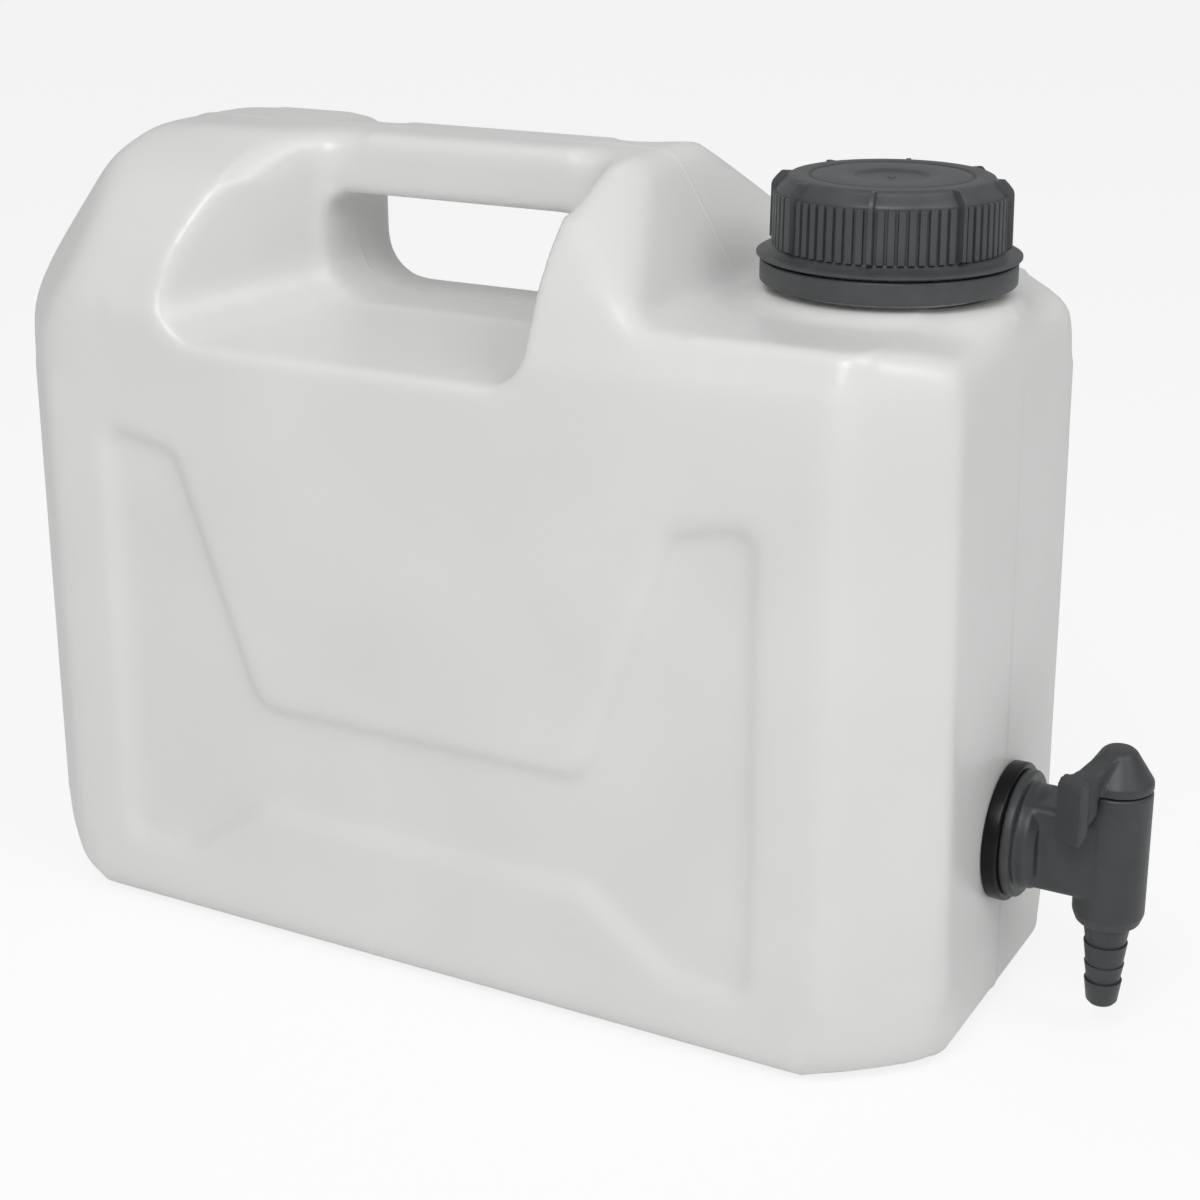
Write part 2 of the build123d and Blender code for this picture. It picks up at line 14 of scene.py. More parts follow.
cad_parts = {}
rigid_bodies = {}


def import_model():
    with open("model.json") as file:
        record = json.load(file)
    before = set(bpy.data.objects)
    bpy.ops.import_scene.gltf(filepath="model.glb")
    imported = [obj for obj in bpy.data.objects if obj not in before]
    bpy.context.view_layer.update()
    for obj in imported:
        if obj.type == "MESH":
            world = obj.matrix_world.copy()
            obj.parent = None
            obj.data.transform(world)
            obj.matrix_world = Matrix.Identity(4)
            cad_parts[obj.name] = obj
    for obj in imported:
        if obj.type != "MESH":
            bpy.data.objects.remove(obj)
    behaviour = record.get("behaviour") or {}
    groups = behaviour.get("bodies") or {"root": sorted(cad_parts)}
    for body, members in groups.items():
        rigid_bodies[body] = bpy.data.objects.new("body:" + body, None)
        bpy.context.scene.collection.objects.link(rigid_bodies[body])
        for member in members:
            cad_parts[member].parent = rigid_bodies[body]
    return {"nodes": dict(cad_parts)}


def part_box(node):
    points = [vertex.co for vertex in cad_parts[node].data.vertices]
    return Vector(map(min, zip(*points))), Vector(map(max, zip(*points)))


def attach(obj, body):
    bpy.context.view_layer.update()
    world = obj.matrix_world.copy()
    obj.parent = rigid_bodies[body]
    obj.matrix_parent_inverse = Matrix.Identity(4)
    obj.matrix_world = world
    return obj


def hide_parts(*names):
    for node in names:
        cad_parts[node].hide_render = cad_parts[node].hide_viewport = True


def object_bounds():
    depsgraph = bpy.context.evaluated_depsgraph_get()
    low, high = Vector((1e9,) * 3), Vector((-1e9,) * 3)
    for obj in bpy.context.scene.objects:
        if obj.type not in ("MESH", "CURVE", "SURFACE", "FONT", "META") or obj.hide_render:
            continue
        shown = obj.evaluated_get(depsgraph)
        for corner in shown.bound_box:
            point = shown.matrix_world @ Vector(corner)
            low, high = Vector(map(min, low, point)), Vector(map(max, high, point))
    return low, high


bl_info = {
    "name": "Jerrycan with tap",
    "version": (1, 0, 0),
    "blender": (4, 5, 0),
    "location": "3D View > Sidebar > Jerrycan",
    "description": "Builds the surfaces, materials and stage of a jerrycan with a draw-off tap",
    "category": "Object",
}

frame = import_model()
CAD_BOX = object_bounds()

MM = 0.001
MERGE = 0.002 * MM      # points nearer than this become one
HALFWAY = 0.5           # how far a smoothing round takes a point to its neighbours' middle
CAP_LOW, CAP_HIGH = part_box("screw_cap")
RING_LOW, RING_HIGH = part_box("tamper_ring")
GASKET_LOW, GASKET_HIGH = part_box("tap_gasket")
KEY_LOW, KEY_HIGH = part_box("tap_key")
BARREL_RADIUS = 8.9
BARREL_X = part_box("tap_body")[1].x - BARREL_RADIUS * MM
NECK = Vector(((CAP_LOW.x + CAP_HIGH.x) / 2, 0, 0))
TAP = Vector((GASKET_LOW.x, 0, (GASKET_LOW.z + GASKET_HIGH.z) / 2))
BARREL = Vector((BARREL_X, 0, TAP.z))
UP = Vector((0, 0, 1))
OUT = Vector((1, 0, 0))


def linear(hex_colour):
    """An sRGB hex colour as linear red, green and blue."""
    parts = [int(hex_colour[i:i + 2], 16) / 255 for i in (1, 3, 5)]
    return tuple(c / 12.92 if c <= 0.04045 else ((c + 0.055) / 1.055) ** 2.4 for c in parts)


def length_prop(name, description, default_mm):
    """A length setting, its default in millimetres."""
    return bpy.props.FloatProperty(name=name, description=description, default=default_mm * MM,
                                   unit="LENGTH", subtype="DISTANCE", precision=5)


def count_prop(name, description, default):
    """A setting that counts."""
    return bpy.props.IntProperty(name=name, description=description, default=default, min=0, max=60)


def level_prop(name, description, default, unit="NONE"):
    """A setting that is a strength from 0 up."""
    return bpy.props.FloatProperty(name=name, description=description, default=default, min=0,
                                   unit=unit)


def colour_prop(name, description, hex_colour):
    """A colour setting, its default as an sRGB hex colour."""
    return bpy.props.FloatVectorProperty(name=name, description=description, subtype="COLOR",
                                         default=linear(hex_colour), min=0, max=1)


def activate(piece):
    """Selects one object alone and makes it active, in object mode."""
    if bpy.context.object and bpy.context.object.mode != "OBJECT":
        bpy.ops.object.mode_set(mode="OBJECT")
    bpy.ops.object.select_all(action="DESELECT")
    if piece:
        piece.select_set(True)
        bpy.context.view_layer.objects.active = piece


def edit(piece):
    """Opens a piece in edit mode, on its vertices, with nothing selected."""
    activate(piece)
    bpy.ops.object.mode_set(mode="EDIT")
    bpy.ops.mesh.select_mode(type="VERT")
    bpy.ops.mesh.select_all(action="DESELECT")


def pick(piece, test):
    """In edit mode, selects the faces whose middle and normal pass the test, and nothing else."""
    bpy.ops.mesh.select_mode(type="FACE")
    bpy.ops.mesh.select_all(action="DESELECT")
    mesh = bmesh.from_edit_mesh(piece.data)
    for face in mesh.faces:
        if test(face.calc_center_median(), face.normal):
            face.select_set(True)
    bmesh.update_edit_mesh(piece.data)


def pick_points(piece, test):
    """In edit mode, selects the vertices whose place and normal pass the test, and nothing else."""
    bpy.ops.mesh.select_mode(type="VERT")
    bpy.ops.mesh.select_all(action="DESELECT")
    mesh = bmesh.from_edit_mesh(piece.data)
    for point in mesh.verts:
        if test(point.co, point.normal):
            point.select_set(True)
    bmesh.update_edit_mesh(piece.data)


def node_copy(node, name):
    """Merged copy of a CAD node's mesh, as a piece of its own at the origin."""
    piece = bpy.data.objects.new(name, frame["nodes"][node].data.copy())
    piece.data.materials.clear()
    bpy.context.scene.collection.objects.link(piece)
    edit(piece)
    bpy.ops.mesh.customdata_custom_splitnormals_clear()
    bpy.ops.mesh.select_all(action="SELECT")
    bpy.ops.mesh.remove_doubles(threshold=MERGE)
    activate(piece)
    return piece


def joined(name, *parts):
    """The parts as one piece, under a name of its own."""
    activate(parts[0])
    for part in parts:
        part.select_set(True)
    bpy.ops.object.join()
    parts[0].name = name
    return parts[0]


def fit(piece, kind, **settings):
    """Adds a modifier with its settings and applies it."""
    activate(piece)
    made = piece.modifiers.new(kind.title(), kind)
    for key, value in settings.items():
        setattr(made, key, value)
    bpy.ops.object.modifier_apply(modifier=made.name)


def traced(name, places):
    """A new piece, left in edit mode: one point extruded along the places and back to the first."""
    activate(None)
    bpy.ops.mesh.primitive_plane_add(size=MM)
    piece = bpy.context.object
    piece.name = name
    bpy.ops.object.mode_set(mode="EDIT")
    bpy.ops.mesh.select_mode(type="VERT")
    bpy.ops.mesh.merge(type="CENTER")
    bpy.ops.transform.translate(value=places[0])
    for here, there in zip(places, places[1:] + places[:1]):
        bpy.ops.mesh.extrude_region_move(TRANSFORM_OT_translate={"value": there - here})
    bpy.ops.mesh.select_all(action="SELECT")
    return piece


def spun(name, profile, steps, origin, axis):
    """Closed turned form: the profile's outline, spun round the axis.

    The profile is a list of (distance from the axis, height along it) in millimetres."""
    radial = OUT if axis == UP else UP
    piece = traced(name, [origin + radial * (r * MM) + axis * (h * MM) for r, h in profile])
    bpy.ops.mesh.spin(steps=steps, angle=2 * math.pi, center=origin, axis=axis)
    bpy.ops.mesh.select_all(action="SELECT")
    bpy.ops.mesh.remove_doubles(threshold=MERGE)
    bpy.ops.mesh.delete_loose()
    bpy.ops.mesh.select_all(action="SELECT")
    bpy.ops.mesh.normals_make_consistent(inside=False)
    activate(piece)
    return piece


def arc(centre_r, centre_h, radius, start, end, count=4):
    """Profile points along an arc, angles in degrees from the radial direction."""
    angles = [math.radians(start + (end - start) * i / count) for i in range(count + 1)]
    return [(centre_r + radius * math.cos(a), centre_h + radius * math.sin(a)) for a in angles]


def remoulded(piece, settings):
    """Rebuilds a piece on a fine grid and rounds its edges over."""
    fit(piece, "REMESH", mode="VOXEL", voxel_size=settings.grid, use_smooth_shade=True)
    fit(piece, "SMOOTH", factor=HALFWAY, iterations=settings.rounds)
    return piece


def shade(piece, degrees):
    """Smooth shading, kept sharp where two faces meet more steeply than this."""
    activate(piece)
    bpy.ops.object.shade_smooth_by_angle(angle=math.radians(degrees))


def settle(piece, body, slot, material, *nodes):
    """Gives a finished piece its body, the nodes that it stands for and its finish."""
    activate(piece)
    bpy.ops.object.transform_apply(location=True, rotation=True, scale=True)
    piece.data.materials.clear()
    piece.data.materials.append(material)
    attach(piece, body)
    if nodes:
        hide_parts(*nodes)


def dress(node, material):
    """Assigns a material to a CAD node that is shown as it is."""
    shown = frame["nodes"][node]
    if not shown.material_slots:
        shown.data.materials.append(material)
    for slot in shown.material_slots:
        slot.material = material


def from_neck(place):
    """Distance of a place from the neck's axis."""
    return math.hypot(place.x - NECK.x, place.y)


def from_tap(place):
    """Distance of a place from the axis of the tap's shank."""
    return math.hypot(place.y, place.z - TAP.z)


def add_node(tree, kind, inputs=None, **settings):
    """Adds a node with its settings; an input is a value, or a socket to link from."""
    made = tree.nodes.new(kind)
    for key, value in settings.items():
        setattr(made, key, value)
    for key, value in (inputs or {}).items():
        if isinstance(value, bpy.types.NodeSocket):
            tree.links.new(value, made.inputs[key])
        else:
            made.inputs[key].default_value = value
    return made


def new_material(name):
    """An empty node material with its shader, output and object coordinates."""
    material = bpy.data.materials.new(name)
    material.use_nodes = True
    tree = material.node_tree
    tree.nodes.clear()
    shader = add_node(tree, "ShaderNodeBsdfPrincipled")
    add_node(tree, "ShaderNodeOutputMaterial", {"Surface": shader.outputs[0]})
    place = add_node(tree, "ShaderNodeTexCoord").outputs["Object"]
    return material, tree, shader, place


def noise(tree, place, size_mm, detail=2.0, stretch=(1, 1, 1)):
    """Noise whose patches are about size_mm across, stretched along the axes."""
    scaled = add_node(tree, "ShaderNodeMapping", {"Vector": place, "Scale": stretch}).outputs[0]
    sockets = {"Vector": scaled, "Scale": 1 / (size_mm * MM), "Detail": detail}
    return add_node(tree, "ShaderNodeTexNoise", sockets).outputs["Fac"]


def spread(tree, value, low, high):
    """Maps noise, which keeps near a half, to the range low to high."""
    sockets = {"Value": value, "From Min": 0.25, "From Max": 0.75, "To Min": low, "To Max": high}
    return add_node(tree, "ShaderNodeMapRange", sockets, clamp=False).outputs[0]


def blend_colours(tree, factor, first, second):
    """Colour that goes from the first to the second as the factor goes from 0 to 1."""
    mix = add_node(tree, "ShaderNodeMix", data_type="RGBA")
    tree.links.new(factor, mix.inputs[0])
    mix.inputs[6].default_value = (*first, 1)
    mix.inputs[7].default_value = (*second, 1)
    return mix.outputs[2]


def calculate(tree, operation, first, second):
    """The socket of a maths node on two inputs."""
    return add_node(tree, "ShaderNodeMath", {0: first, 1: second}, operation=operation).outputs[0]


def heights(tree, *layers):
    """Sum of (noise, height in mm) layers as one bump."""
    scaled = [calculate(tree, "MULTIPLY", value, height_mm * MM) for value, height_mm in layers]
    total = scaled[0]
    for layer in scaled[1:]:
        total = calculate(tree, "ADD", total, layer)
    sockets = {"Height": total, "Distance": 1.0, "Strength": 1.0}
    return add_node(tree, "ShaderNodeBump", sockets).outputs[0]


def natural_polyethylene(settings):
    """Natural HDPE, blow moulded: milky and slightly translucent, with a waxy gloss.

    The eye sees slow unevenness from the parison's cooling, faint upright die streaks, and the
    fine blasted grain of the mould."""
    material, tree, shader, place = new_material("natural_hdpe_blow_moulded")
    thick = noise(tree, place, 45, 1.0)
    streaks = noise(tree, place, 2.2, 1.0, (1, 1, 0.03))
    waves = noise(tree, place, 16, 1.0)
    # the real grain is near 0.15 mm, too fine to show, so it is drawn at 0.7 mm
    grain = noise(tree, place, 0.7, 2.0)
    tone = blend_colours(tree, spread(tree, thick, 0, 1), settings.colour, settings.thin_colour)
    tree.links.new(tone, shader.inputs["Base Color"])
    tree.links.new(spread(tree, waves, 0.31, 0.37), shader.inputs["Roughness"])
    bump = heights(tree, (waves, 0.12), (streaks, 0.012), (grain, 0.010))
    tree.links.new(bump, shader.inputs["Normal"])
    shader.inputs["IOR"].default_value = 1.54
    shader.inputs["Subsurface Weight"].default_value = 0.35
    shader.inputs["Subsurface Radius"].default_value = (1.0, 1.0, 0.9)
    shader.inputs["Subsurface Scale"].default_value = 4 * MM
    return material


def dark_moulded(name, colour, worn_colour, grain_mm, roughness, specular):
    """Dark injection moulding: an eroded mould's matt grain, with slightly paler rubbed patches."""
    material, tree, shader, place = new_material(name)
    rubbed = noise(tree, place, 7, 3.0)
    grain = noise(tree, place, grain_mm, 2.0)
    tone = blend_colours(tree, spread(tree, rubbed, 0, 1), colour, worn_colour)
    tree.links.new(tone, shader.inputs["Base Color"])
    sheen = spread(tree, rubbed, roughness - 0.04, roughness + 0.05)
    tree.links.new(sheen, shader.inputs["Roughness"])
    tree.links.new(heights(tree, (grain, 0.02), (rubbed, 0.03)), shader.inputs["Normal"])
    shader.inputs["IOR"].default_value = 1.5
    shader.inputs["Specular IOR Level"].default_value = specular
    return material


CELL_MM = 0.6      # width of a cell in the liner's foam


def foam_liner():
    """White expanded polyethylene sheet: closed cells that dimple the surface."""
    material, tree, shader, place = new_material("white_foamed_polyethylene")
    cells = add_node(tree, "ShaderNodeTexVoronoi",
                     {"Vector": place, "Scale": 1 / (CELL_MM * MM)}).outputs["Distance"]
    tone = blend_colours(tree, cells, linear("#F1F1EE"), linear("#DADAD6"))
    tree.links.new(tone, shader.inputs["Base Color"])
    tree.links.new(heights(tree, (cells, 0.05)), shader.inputs["Normal"])
    shader.inputs["Roughness"].default_value = 0.7
    return material


class CanSettings(bpy.types.PropertyGroup):
    """Sizes and colours of the can"""
    grid: length_prop("Surface grid", "Spacing of the can's rebuilt surface", 1.6)
    rounds: count_prop("Smoothing rounds", "How often the can's creases are softened", 9)
    ridge_height: length_prop("Parting ridge", "Height of the mould's parting ridge", 0.3)
    ridge_width: length_prop("Parting ridge width", "Width of the ridge at its foot", 1.1)
    colour: colour_prop("Colour", "Natural polyethylene where it is thick", "#DEDFDD")
    thin_colour: colour_prop("Thin colour", "Natural polyethylene where it is thin", "#D9DAD8")


class ClosureSettings(bpy.types.PropertyGroup):
    """Sizes and colours of the cap and its ring"""
    rib_depth: length_prop("Rib depth", "How far the grip ribs stand out", 0.8)
    fin_depth: length_prop("Fin depth", "How far the eight fins stand out", 1.8)
    fin_turn: bpy.props.FloatProperty(name="Fin angle",
                                      description="Angle of the first fin about the neck",
                                      default=math.radians(10.2), subtype="ANGLE", unit="ROTATION")
    colour: colour_prop("Colour", "Charcoal polypropylene", "#3F4143")
    worn_colour: colour_prop("Rubbed colour", "Where handling has paled it", "#484A4C")


class TapSettings(bpy.types.PropertyGroup):
    """Sizes and colours of the tap"""
    grid: length_prop("Surface grid", "Spacing of the tap's rebuilt surface", 0.4)
    rounds: count_prop("Smoothing rounds", "How often the tap's edges are softened", 3)
    colour: colour_prop("Colour", "Charcoal acetal", "#343638")
    worn_colour: colour_prop("Rubbed colour", "Where handling has paled it", "#3C3E40")
    rubber: colour_prop("Rubber", "Black nitrile rubber", "#060606")


class StageSettings(bpy.types.PropertyGroup):
    """Strength of the light, and the floor"""
    level: level_prop("Sky level", "Strength of the plain surrounding light", 0.42)
    key: level_prop("Key light", "Power of the softbox above the camera", 11.0, "POWER")
    fill: level_prop("Side light", "Power of the softbox at the tap end", 4.5, "POWER")
    floor: colour_prop("Floor", "White table and backdrop", "#F6F6F6")


# The outer skin is one piece, and the neck with the cavity's wall another. They part at these
# distances from the axes of the neck and the tap, under the tamper ring and the gasket.
NECK_SEAM = 27.0 * MM
TAP_SEAM = 14.0 * MM
SEAM_LAP = 1.5 * MM                 # how far the skin runs on inside them
NECK_FOOT_Z = RING_LOW.z - 9.4 * MM
BEAD_Z = RING_LOW.z + 1.4 * MM      # the bead goes with the neck from here up
BEAD_REACH = 32 * MM
FACING = 0.8                        # least share of a normal along the opening's axis
# folds steeper than this, in degrees, stay sharp
CAVITY_SHARP, CAP_SHARP, RING_SHARP, TAP_SHARP, GASKET_SHARP = 30, 32, 40, 38, 50


class JERRYCAN_OT_can(bpy.types.Operator):
    """Rebuild the can's outer skin with the soft creases of blown plastic"""
    bl_idname = "jerrycan.can"
    bl_label = "Can"

    def execute(self, context):
        settings = context.scene.jerrycan_can
        finish = natural_polyethylene(settings)
        skin, inside = part_walls()
        edit(skin)
        bpy.ops.mesh.select_all(action="SELECT")
        bpy.ops.mesh.fill_holes(sides=0)
        remoulded(skin, settings)
        soften_places(skin)
        edit(skin)
        pick(skin, lambda p, n: (from_neck(p) < NECK_SEAM - SEAM_LAP and n.z > FACING)
             or (from_tap(p) < TAP_SEAM - SEAM_LAP and n.x > FACING and p.x > 0))
        bpy.ops.mesh.delete(type="FACE")
        raise_parting_ridge(skin, settings)
        activate(skin)
        bpy.ops.object.shade_smooth()
        shade(inside, CAVITY_SHARP)
        settle(skin, "can", "can_polyethylene", finish, "can_body")
        settle(inside, "can", "can_polyethylene", finish, "can_body")
        return {"FINISHED"}


def part_walls():
    """A copy of the can parted in two: its outer skin, and the neck with the cavity's wall."""
    skin = node_copy("can_body", "can_skin")
    before = set(bpy.context.scene.objects)
    edit(skin)
    pick(skin, lambda p, n: (from_neck(p) < NECK_SEAM and p.z > NECK_FOOT_Z)
         or (from_neck(p) < BEAD_REACH and p.z > BEAD_Z)
         or (from_tap(p) < TAP_SEAM and p.x > 0))
    bpy.ops.mesh.separate(type="SELECTED")
    # what hangs together with the can's foot is the skin, and the rest is the cavity
    pick(skin, lambda p, n: p.z < 0.1 * MM and n.z < -0.9)
    bpy.ops.mesh.select_linked()
    bpy.ops.mesh.select_all(action="INVERT")
    bpy.ops.mesh.separate(type="SELECTED")
    activate(skin)
    parted = [piece for piece in bpy.context.scene.objects if piece not in before]
    inside = joined("can_neck_and_cavity", *parted)
    edit(inside)
    bpy.ops.mesh.select_all(action="SELECT")
    bpy.ops.mesh.remove_doubles(threshold=MERGE)
    activate(inside)
    return skin, inside


# where the blown wall is rounder than elsewhere: a test on a place, and the smoothing rounds
SOFT_PLACES = {
    "handle end": (lambda p: p.x < -92 * MM and p.z > 150 * MM, 45),
    "end of the deck": (lambda p: p.x > 118 * MM and p.z > 163 * MM, 22),
    "feet of the corner facets": (lambda p: abs(p.x) > 108 * MM and abs(p.y) > 34 * MM
                                  and p.z < 20 * MM, 45),
    "left end of the grip bar": (lambda p: -68 * MM < p.x < -42 * MM and p.z > 204 * MM, 30),
    "right end of the grip bar": (lambda p: 20 * MM < p.x < 40 * MM and p.z > 204 * MM, 30),
    "ramp to the deck": (lambda p: 40 * MM < p.x < 75 * MM and p.z > 176 * MM, 14),
}


def soften_places(skin):
    """Further rounds of smoothing where the can is rounder."""
    edit(skin)
    for test, rounds in SOFT_PLACES.values():
        pick_points(skin, lambda p, n: test(p))
        bpy.ops.mesh.vertices_smooth(factor=HALFWAY, repeat=rounds)
    activate(skin)


ON_PLANE = 0.02 * MM      # a point nearer than this lies on the middle plane
# the ridge ends at these distances from the axes of the neck and the tap
RIDGE_FROM_NECK, RIDGE_FROM_TAP = 34 * MM, 20 * MM


def raise_parting_ridge(skin, settings):
    """Cuts the skin on both sides of the middle plane and lifts the line between them."""
    half = settings.ridge_width / 2
    for y in (-half, 0, half):
        edit(skin)
        bpy.ops.mesh.select_all(action="SELECT")
        bpy.ops.mesh.bisect(plane_co=(0, y, 0), plane_no=(0, 1, 0), threshold=ON_PLANE / 2)
    edit(skin)
    # not on the foot, and not on the end wall where it would pass the CAD's box
    start = CAD_BOX[0].x + settings.ridge_height
    pick_points(skin, lambda p, n: abs(p.y) < ON_PLANE and n.z > -0.5 and p.x > start
                and from_neck(p) > RIDGE_FROM_NECK and from_tap(p) > RIDGE_FROM_TAP)
    bpy.ops.transform.shrink_fatten(value=settings.ridge_height, use_even_offset=False)
    activate(skin)


class JERRYCAN_OT_closure(bpy.types.Operator):
    """Model the screw cap with its ribs and fins, and the tamper ring below it"""
    bl_idname = "jerrycan.closure"
    bl_label = "Closure"

    def execute(self, context):
        settings = context.scene.jerrycan_closure
        finish = dark_moulded("charcoal_polypropylene_moulded", settings.colour,
                              settings.worn_colour, grain_mm=0.35, roughness=0.42, specular=0.45)
        cap = turned_cap()
        raise_grip(cap, settings)
        shade(cap, CAP_SHARP)
        settle(cap, "cap", "closure_plastic", finish, "screw_cap")
        ring = turned_ring()
        shade(ring, RING_SHARP)
        settle(ring, "can", "closure_plastic", finish, "tamper_ring")
        dress("cap_liner", foam_liner())
        return {"FINISHED"}


CAP_RISE = (CAP_HIGH.z - CAP_LOW.z) / MM
CAP_BORE = 25.8
SKIRT_ROW = (2.6, CAP_RISE - 3.8)      # foot and top of the straight skirt
FINS = 8
COLUMNS = 72                           # divisions of the skirt from one fin to the next
FIN_COLUMNS = 7                        # the fin and the narrow slots at its sides
RIB_PITCH, RIB_WIDTH = 8, 6            # in columns
# radii just inside the skirt, the band above it and the fins' tops
SKIRT_NEAR, BAND_NEAR, RIM_NEAR = 26.5 * MM, 24.3 * MM, 23.95 * MM


def turned_cap():
    """The cap from its foot flange over the skirt and the disc, with a sunk ring and middle."""
    t = CAP_RISE
    outside = [(31.5, 0.0), (31.85, 0.25), (31.85, 0.7), (31.4, 0.95), (30.3, 1.1), (29.2, 1.35),
               (28.4, 1.75), (27.8, 2.15), (27.5, SKIRT_ROW[0]), (27.3, SKIRT_ROW[1])]
    band = [(27.2, t - 3.4), (26.9, t - 3.0), (26.3, t - 2.3), (25.4, t - 1.4), (24.9, t - 0.8),
            (24.6, t - 0.35), (24.2, t - 0.08), (23.7, t)]
    disc = [(20.3, t), (20.0, t - 0.15), (19.7, t - 0.6), (19.4, t - 0.6), (19.0, t - 0.2),
            (18.6, t - 0.1), (9.6, t - 0.1), (9.2, t - 0.2), (8.6, t - 0.7), (8.2, t - 0.8),
            (1.2, t - 0.8), (0.9, t - 0.5), (0, t - 0.5)]
    hollow = [(0, t - 2.0), (CAP_BORE - 0.6, t - 2.0), (CAP_BORE, t - 2.6), (CAP_BORE, 0.4),
              (CAP_BORE + 0.4, 0)]
    return spun("screw_cap_ribbed", outside + band + disc + hollow, steps=FINS * COLUMNS,
                origin=Vector((NECK.x, 0, CAP_LOW.z)), axis=UP)


def column_of(place, settings):
    """Which of the columns between two fins a place on the cap lies in."""
    step = 360 / FINS
    turn = math.degrees(math.atan2(place.y, place.x - NECK.x) - settings.fin_turn) % step
    return int(turn / step * COLUMNS)


def raise_grip(cap, settings):
    """Raises eight ribs between each two fins, then the eight fins up to the disc's edge."""
    low, high = (CAP_LOW.z + h * MM for h in SKIRT_ROW)

    def is_rib(p, n):
        column = column_of(p, settings) - FIN_COLUMNS - 1
        return (low < p.z < high and from_neck(p) > SKIRT_NEAR
                and column >= 0 and column % RIB_PITCH < RIB_WIDTH)

    def is_fin(p, n):
        outward = n.x * (p.x - NECK.x) + n.y * p.y > 0
        return (low - 0.3 * MM < p.z < CAP_HIGH.z - 0.2 * MM and from_neck(p) > BAND_NEAR
                and outward and 1 <= column_of(p, settings) < FIN_COLUMNS - 1)

    edit(cap)
    pick(cap, is_rib)
    bpy.ops.mesh.inset(thickness=0.16 * MM, depth=settings.rib_depth, use_even_offset=True)
    pick(cap, is_fin)
    bpy.ops.mesh.inset(thickness=0.3 * MM, depth=settings.fin_depth, use_even_offset=True)
    # the fins' tops come level with the disc
    rim = CAP_HIGH.z - 0.12 * MM
    pick_points(cap, lambda p, n: p.z > rim and from_neck(p) > RIM_NEAR)
    bpy.ops.transform.resize(value=(1, 1, 0), center_override=(NECK.x, 0, rim))
    activate(cap)


def turned_ring():
    """The tamper ring, rounded at its foot and top, and a little lower than the CAD's bridges."""
    rise = (RING_HIGH.z - RING_LOW.z) / MM - 0.35
    r, inner = (RING_HIGH.x - RING_LOW.x) / 2 / MM, 28.6
    edge = 0.6
    profile = ([(inner, rise - 0.3), (inner, 0.4), (inner + 0.4, 0)]
               + arc(r - edge, edge, edge, -90, 0) + arc(r - edge, rise - edge, edge, 0, 90, 3))
    return spun("tamper_ring_turned", profile, steps=128,
                origin=Vector((NECK.x, 0, RING_LOW.z)), axis=UP)


class JERRYCAN_OT_tap(bpy.types.Operator):
    """Rebuild the tap's body and key with moulded edges, and turn its gasket"""
    bl_idname = "jerrycan.tap"
    bl_label = "Tap"

    def execute(self, context):
        settings = context.scene.jerrycan_tap
        # acetal is harder than the cap's plastic, and a little glossier
        finish = dark_moulded("charcoal_acetal_moulded", settings.colour, settings.worn_colour,
                              grain_mm=0.45, roughness=0.40, specular=0.45)
        rubber = dark_moulded("black_nitrile_rubber_polished", settings.rubber, settings.rubber,
                              grain_mm=1.2, roughness=0.3, specular=0.25)
        # the barb joins afterwards, because a smoothing round would take its steps away
        body = joined("tap_body_moulded", remoulded(squared_tap(), settings), hose_barb())
        key = remoulded(key_with_lever(), settings)
        for piece, rides, node in ((body, "can", "tap_body"), (key, "key", "tap_key")):
            shade(piece, TAP_SHARP)
            settle(piece, rides, "tap_plastic", finish, node)
        gasket = turned_gasket()
        shade(gasket, GASKET_SHARP)
        settle(gasket, "can", "black_rubber", rubber, "tap_gasket")
        for node in ("tap_washer", "key_oring_upper", "key_oring_lower"):
            dress(node, rubber)
        dress("lock_nut", finish)
        return {"FINISHED"}


# Heights on the barrel's axis are in mm from the shank's axis. The barb's are counted downwards.
BARB_TOP, BARB_TIP = 18.2, 41.5
BARB_EDGES = ((5.8, 19.7), (5.45, 24.4), (4.95, 30.2), (4.7, 34.9))    # radius and height of each
BARB_TAPER = 0.8        # how much each cone loses on its way down
BARB_ROOT = 6.2         # radius where it runs up into the barrel
BARB_BORE = 2.8


def squared_tap():
    """The tap's body, its barrel cut off square above the hose barb."""
    body = node_copy("tap_body", "tap_body_moulded")
    edit(body)
    bpy.ops.mesh.select_all(action="SELECT")
    bpy.ops.mesh.bisect(plane_co=(0, 0, TAP.z - BARB_TOP * MM), plane_no=(0, 0, 1),
                        use_fill=True, clear_inner=True)
    activate(body)
    return body


def hose_barb():
    """Stepped barb: each cone narrows towards the tip and the next one steps out again."""
    inside_barrel = -BARB_TOP + 2.5
    profile = [(BARB_BORE, inside_barrel), (BARB_ROOT, inside_barrel),
               (BARB_ROOT, -BARB_TOP - 0.3)]
    chamfer = 0.9
    floors = [depth for radius, depth in BARB_EDGES[1:]] + [BARB_TIP - chamfer]
    for (radius, depth), floor in zip(BARB_EDGES, floors):
        profile += [(radius, -depth), (radius - BARB_TAPER, -floor)]
    profile += [(BARB_EDGES[-1][0] - BARB_TAPER - 0.8, -BARB_TIP), (BARB_BORE, -BARB_TIP)]
    return spun("barb", profile, steps=64, origin=BARREL, axis=UP)


LEVER_TURN = math.radians(26)      # from straight forward, towards the can
KEY_FOOT = 17.9                    # foot of the key's conical cap
PLUG_FOOT, KEY_TOP = (KEY_LOW.z - TAP.z) / MM, (KEY_HIGH.z - TAP.z) / MM + 0.6
PLUG_RADIUS = 6.4
WEB_WIDTH, PADDLE_WIDTH, PADDLE_START = 5.6, 8.0, 13.8


